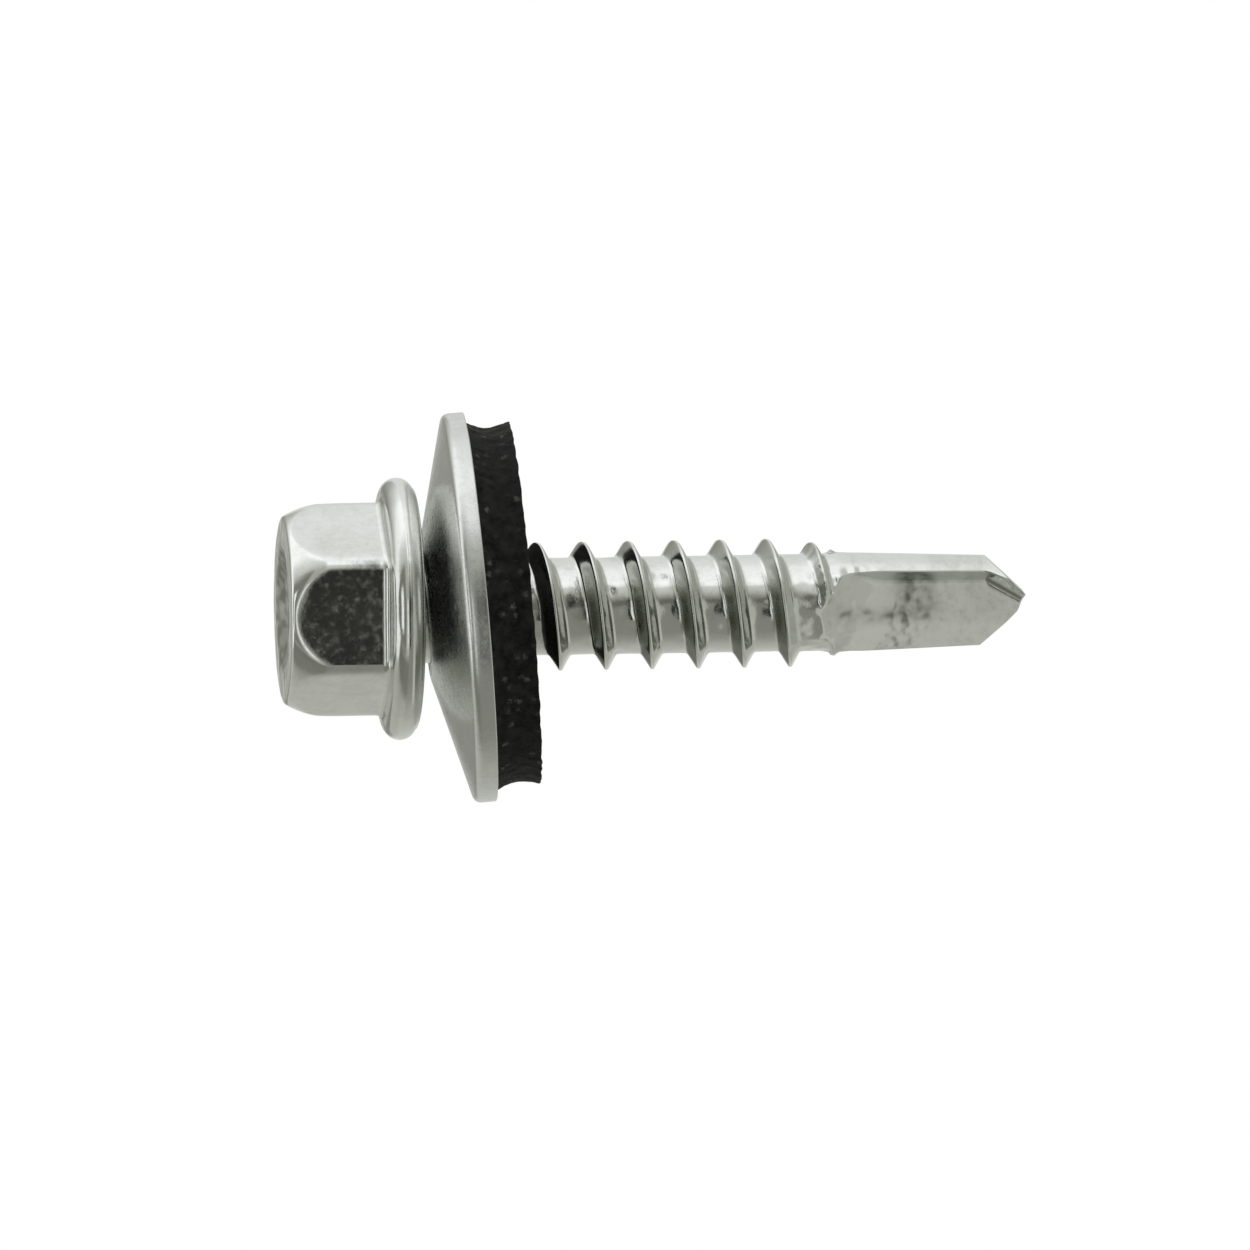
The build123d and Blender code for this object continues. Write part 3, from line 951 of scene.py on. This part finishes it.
def plated(name, base, stain, gloss, dents, grain):
    """A mirror of the base colour with a stained film, darker patches of wear and painted shade, dents and
    grain.
    """
    finish = Finish(bpy.data.materials.new(name))
    place = finish.node("TexCoord", output=3)
    dullness_and_shade = finish.node("Attribute", output=2, attribute_name="dullness_and_shade")
    broad = finish.noise(place, 0.55, detail=5.0, roughness=0.6)
    fine = finish.noise(place, 3.2, detail=6.0, roughness=0.65)
    film = finish.ramped(broad * 0.6 + fine * 0.4, 0.46, 0.66)
    # darker where the mesh marks real wear and painted shade
    tone = finish.mix(dullness_and_shade * 0.9, finish.mix(film, base, stain), WORN_AND_SHADED)
    rough = gloss + film * 0.07 + finish.ramped(fine, 0.5, 0.75) * 0.10 + dullness_and_shade * 0.13
    height = finish.noise(place, 1.3, detail=3.0)
    bump = finish.node("Bump", {"Strength": dents, "Distance": 0.06 * MM, "Height": height})
    height = finish.noise(place, 9.0)
    bump = finish.node("Bump", {"Strength": grain, "Distance": 0.01 * MM, "Height": height, "Normal": bump})
    sockets = {"Base Color": tone, "Metallic": 1.0, "Roughness": rough, "Normal": bump}
    finish.node("OutputMaterial", {"Surface": finish.node("BsdfPrincipled", sockets)})
    print(name, "nodes", len(finish.tree.nodes))
    return finish.owner


bright, bright_stain = colour(0.81, 0.82, 0.79), colour(0.70, 0.71, 0.66)
plating = plated("screw_plating", bright, bright_stain, gloss=0.09, dents=0.10, grain=0.10)
screw.data.materials.append(plating)
satin, satin_stain = colour(0.76, 0.77, 0.75), colour(0.66, 0.67, 0.64)
sheet_plating = plated("washer_plating", satin, satin_stain, gloss=0.22, dents=0.10, grain=0.22)
washer.data.materials.append(sheet_plating)

# %% [markdown]
# ### Rubber
# Moulded rubber is nearly black and hardly shines, so its look is in its grain. One bump of lumps and grain
# covers it, and pale specks lie here and there. Specks made from noise alone would run together, so
# each lies in a cell of its own, and only some of the cells have one.


# %% Rubber
def rubber():
    """Black with soft lumps of shade, and a pale speck in the middle of some cells."""
    finish = Finish(bpy.data.materials.new("seal_rubber"))
    place = finish.node("TexCoord", output=3)
    lumps = finish.noise(place, 2.2, roughness=0.7)
    grain = finish.noise(place, 9.0, detail=5.0, roughness=0.7)
    cells = finish.node("Mapping", {"Vector": place, "Scale": [2.3 / MM] * 3})
    near = finish.node("TexVoronoi", {"Vector": cells, "Scale": 1.0})
    kind = finish.node("SeparateColor", {"Color": near.other("Color")})
    speck = finish.ramped(grain * 1.4 - near, 0.36, 0.62) * finish.ramped(kind, 0.50, 0.95)
    shade = finish.ramped(lumps, 0.35, 0.65)
    black = finish.mix(shade, grey(0.003), colour(0.020, 0.020, 0.019))
    bump = finish.node("Bump", {"Strength": 1.0, "Distance": 0.05 * MM, "Height": grain + lumps * 0.8})
    sockets = {
        "Base Color": finish.mix(speck * 0.8, black, colour(0.12, 0.12, 0.115)),
        "Roughness": 0.55 + shade * 0.15,
        "Specular IOR Level": 0.12,
        "Normal": bump,
    }
    finish.node("OutputMaterial", {"Surface": finish.node("BsdfPrincipled", sockets)})
    print("seal_rubber nodes", len(finish.tree.nodes))
    return finish.owner


seal.data.materials.append(rubber())

# %% [markdown]
# ## The studio
# A bright room gives even light from all sides. At full strength it would wash out what is matt, so it is
# white only to the camera and to mirrors, and weaker for all else.

# %% World
ROOM = 0.55  # the room's strength for what is matt
world = Finish(bpy.data.worlds.new("room"))
bpy.context.scene.world = world.owner
rays = world.node("LightPath", output="Is Camera Ray")
shown = rays + rays.other("Is Glossy Ray") + rays.other("Is Transmission Ray")
room = world.node("Background", {"Color": grey(1.0), "Strength": shown * (1 - ROOM) + ROOM})
world.node("OutputWorld", {"Surface": room})
print("world nodes", len(world.tree.nodes))

# %% [markdown]
# ### The floor
# The camera is a little below the floor here and would see its underside, so the floor shows only from
# above: its material is clear on the back. It neither lights the screw nor shows in its metal.

# %% Floor
FLOOR_HALF, FLOOR_LEVEL, FLOOR_PALE = 3.0, -0.02 * MM, 0.82


def floor():
    """One large square just under the head, pale from above and clear from below."""
    half, level = FLOOR_HALF, FLOOR_LEVEL
    corners = [(-half, -half, level), (half, -half, level), (half, half, level), (-half, half, level)]
    mesh = bpy.data.meshes.new("floor")
    mesh.from_pydata(corners, [], [(0, 1, 2, 3)])
    piece = placed("floor", mesh)
    finish = Finish(bpy.data.materials.new("floor"))
    pale = finish.node("BsdfDiffuse", {"Color": grey(FLOOR_PALE)})
    back, clear = finish.node("NewGeometry", output="Backfacing"), finish.node("BsdfTransparent")
    finish.node("OutputMaterial", {"Surface": finish.node("MixShader", {0: back, 1: pale, 2: clear})})
    mesh.materials.append(finish.owner)
    piece.visible_diffuse = piece.visible_glossy = piece.visible_transmission = piece.visible_shadow = False
    print("floor side", 2 * FLOOR_HALF)


floor()

# %% [markdown]
# ### The tent
# Metal shows what stands around it, and in an empty white room it would look like paper. Many lamps could
# give it lights and darks, but a painted tent is easier to place. So a tent of greys hangs round the screw,
# with a dark flag before the head and a pale card beside the drill point, and only mirrors see them.
# Directions are in degrees round the screw: 0 is behind the camera, 90 above the picture.

# %% The tent's greys
TENT_REACH, TENT_HALF, TENT_LIGHT = 0.25, 2.5, 1.16
BESIDE = [  # direction and brightness beside the shank
    (-180, 0.62), (-150, 0.50), (-130, 0.44), (-105, 0.36), (-90, 0.28), (-70, 0.22), (-8, 0.21), (-2, 0.13),
    (7, 0.13), (12, 0.22), (18, 0.31), (26, 0.46), (34, 0.55), (41, 0.62), (46, 0.93), (54, 1.00), (70, 0.93),
    (85, 0.90), (95, 0.86), (105, 0.78), (115, 0.74), (150, 0.66), (180, 0.62),
]
AHEAD = [  # the same for what the screw's head faces
    (-180, 0.34), (-168, 0.20), (-158, 0.46), (-135, 0.45), (-115, 0.42), (-95, 0.36), (-80, 0.19),
    (-50, 0.16), (-38, 0.44), (-22, 0.48), (-8, 0.32), (10, 0.34), (40, 0.42), (62, 0.72), (75, 1.00),
    (106, 1.00), (118, 0.80), (150, 0.46), (170, 0.24), (180, 0.34),
]


def greys(turn, stops):
    """Brightness in a direction, in proportion between the two stops beside it."""
    return np.interp(turn, *zip(*stops))


def ahead_glow(turn, z):
    """The greys that the head faces: dim in the middle but for two windows, and bright far off."""
    glow = toward(greys(turn, AHEAD), 0.95, ease(z, -0.50, -0.15))
    glow = toward(glow, 0.18, ease(z, -0.08, -0.05) * ease(np.abs(turn), 50, -15))
    near_window = ease(z, -0.026, -0.010) * ease(z, -0.074, 0.010) * ease(turn, -36, 8) * ease(turn, 10, -6)
    far_window = ease(z, -0.21, -0.03) * ease(z, -0.46, 0.06) * ease(turn, -30, 8) * ease(turn, 26, -8)
    return toward(glow, 0.92, np.maximum(0.75 * near_window, far_window))


def tent_glow(turn, z):
    """The tent's brightness: greys beside the shank, others ahead of the head, and dimmer past the tip."""
    beside = greys(turn, BESIDE) * (1 - 0.42 * ease(z, 0.050, 0.050) * ease(turn, -10, 30))
    beside = toward(beside, 0.38, ease(z, 0.09, 0.10))
    return toward(beside, ahead_glow(turn, z), ease(z, -0.002, -0.024))


def flag_glow(turn, z):
    """The dark flag before the head, cut off along a wavy line above, where the greys behind it go on."""
    over = 14 + 7 * np.sin(z * 5200 + 2.6) + 55 * ease(z, 0.0127, 0.0012)
    return toward(0.020, greys(turn, BESIDE), ease(turn, over, 3))


def card_glow(turn, z):
    """The pale card beside the drill point, its edges faded into the greys behind it."""
    return 0.24 + 0.17 * ease(z, 0.0285, 0.004) * ease(turn, 16, -6) - 0.0004 * turn


print("brightness before the shank", round(float(tent_glow(0.0, 0.02)), 3))


# %% The screens
def screen(name, reach, turns, heights, glow_of):
    """A bent screen round the screw that only mirrors see, its glow worked out point by point."""
    turn, z = np.meshgrid(np.linspace(*turns, 361), heights)
    points = np.stack([-reach * np.sin(np.radians(turn)), -reach * np.cos(np.radians(turn)), z], axis=-1)
    mesh = bpy.data.meshes.new(name)
    mesh.from_pydata(points.reshape(-1, 3).tolist(), [], grid_quads(0, *z.shape, closed=False).tolist())
    glow = glow_of(turn, z).ravel()
    tint = 0.90 + 0.10 * ease(glow, 0.2, 0.6)
    painted = np.stack([glow * 0.985, glow, glow * tint, np.ones_like(glow)], axis=-1)
    mesh.color_attributes.new("glow", "FLOAT_COLOR", "POINT").data.foreach_set("color", painted.ravel())
    piece = placed(name, mesh)
    finish = Finish(bpy.data.materials.new(name))
    glowing = {"Color": finish.node("Attribute", attribute_name="glow"), "Strength": TENT_LIGHT}
    finish.node("OutputMaterial", {"Surface": finish.node("Emission", glowing)})
    mesh.materials.append(finish.owner)
    piece.visible_camera = piece.visible_diffuse = piece.visible_transmission = piece.visible_shadow = False
    print(name, "from", round(float(glow.min()), 2), "to", round(float(glow.max()), 2))


screen("tent", TENT_REACH, (-180, 180), TENT_HALF * np.linspace(-1, 1, 601) ** 3, tent_glow)
screen("dark_flag", 0.10, (-34, 84), np.linspace(0.0038, 0.0175, 80), flag_glow)
screen("pale_card", 0.06, (-100, 16), np.linspace(0.0285, 0.085, 40), card_glow)

# %% [markdown]
# ### The lamp
# One large soft lamp high over the floor, in front of the screw, gives the rubber its shape and the floor
# its shadow. A sun would cast a hard shadow. Mirrors don't see the lamp, because the tent is all that they
# should show.

# %% Lamp
LAMP_AIM = 15 * MM  # the height on the screw's axis that the lamp faces


def lamp(name, place, size, power):
    """A square lamp at a place, of a size in metres and a power in watts."""
    light = bpy.data.lights.new(name, "AREA")
    light.size, light.energy = size, power
    found = placed(name, light)
    found.location = place
    found.visible_glossy = False
    found.rotation_euler = (Vector((0, 0, LAMP_AIM)) - Vector(place)).to_track_quat("-Z", "Y").to_euler()
    print(name, "watts", power)


lamp("soft_lamp", (-0.5, -0.25, 0.55), size=0.4, power=2.2)

# %% [markdown]
# ## Colour
# The Standard view shows a colour as it is written, where a filmic view would grey it.

# %% Finish
bpy.context.scene.view_settings.view_transform = "Standard"
